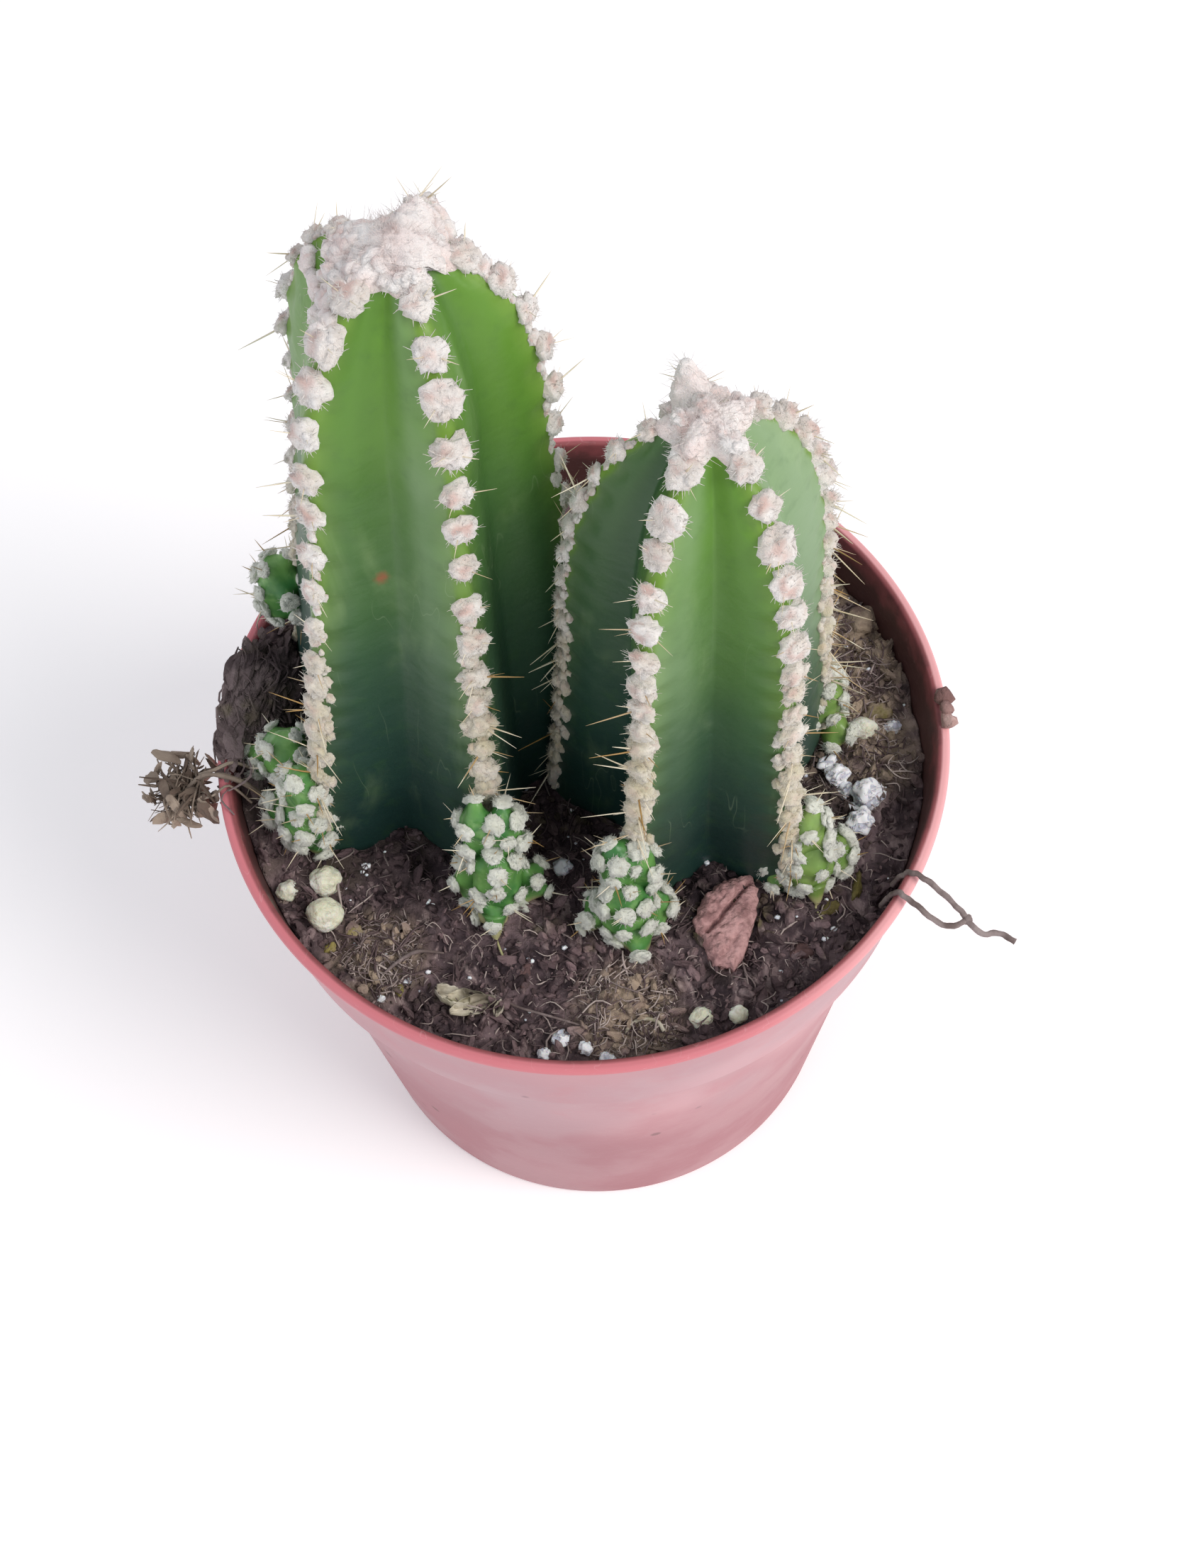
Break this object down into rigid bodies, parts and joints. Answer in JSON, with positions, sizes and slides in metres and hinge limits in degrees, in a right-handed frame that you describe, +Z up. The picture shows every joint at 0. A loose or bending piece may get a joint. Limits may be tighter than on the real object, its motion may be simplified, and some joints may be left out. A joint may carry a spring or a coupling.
{
  "type": "potted tall cactus",
  "caption": "Potted columnar cactus: tall ribbed stems with woolly tufts, spines and small pups in peaty soil, in a thin tapered plastic pot.",
  "frame": {"origin": "centre of the pot's flat underside", "axes": "+Z up, -Y the front, +X to the right as seen from the front"},
  "size_m": [0.0969, 0.085, 0.153],
  "materials": {
    "pot_plastic": "dusty rose, semi-matte, faint specks and scratches",
    "peat": "dark, fibrous and matte, with crumbs",
    "cactus_skin": "satin green skin, blue-green and bloomed towards the soil",
    "areole_wool": "matte cream wool with pinkish brown centres",
    "spine_straw": "thin, pale gold, slightly glossy",
    "bark": "reddish brown, fibrous and matte",
    "feed_granule": "pale yellow-green, slightly waxy",
    "perlite": "white, rough and porous",
    "dry_root": "dry grey-brown fibre, matte",
    "moss": "yellow-green, soft and matte"
  },
  "bodies": {
    "root": {"pot": "pot_plastic", "soil": "peat", "tall_cactus": "cactus_skin", "short_cactus": "cactus_skin", "bark_chip": "bark", "pellet_1": "feed_granule", "pellet_2": "feed_granule", "pellet_3": "feed_granule", "pellet_4": "feed_granule", "pellet_5": "feed_granule", "pellet_6": "feed_granule", "pellet_7": "feed_granule", "pellet_8": "feed_granule", "perlite_1": "perlite", "perlite_2": "perlite", "perlite_3": "perlite", "perlite_4": "perlite", "perlite_5": "perlite", "perlite_6": "perlite", "perlite_7": "perlite", "perlite_8": "perlite", "perlite_9": "perlite", "soil_fibre": "dry_root", "soil_twig": "dry_root", "husk": "dry_root", "rim_root": "dry_root", "rim_tangle": "dry_root", "rim_crumb": "peat"}
  },
  "joints": []
}
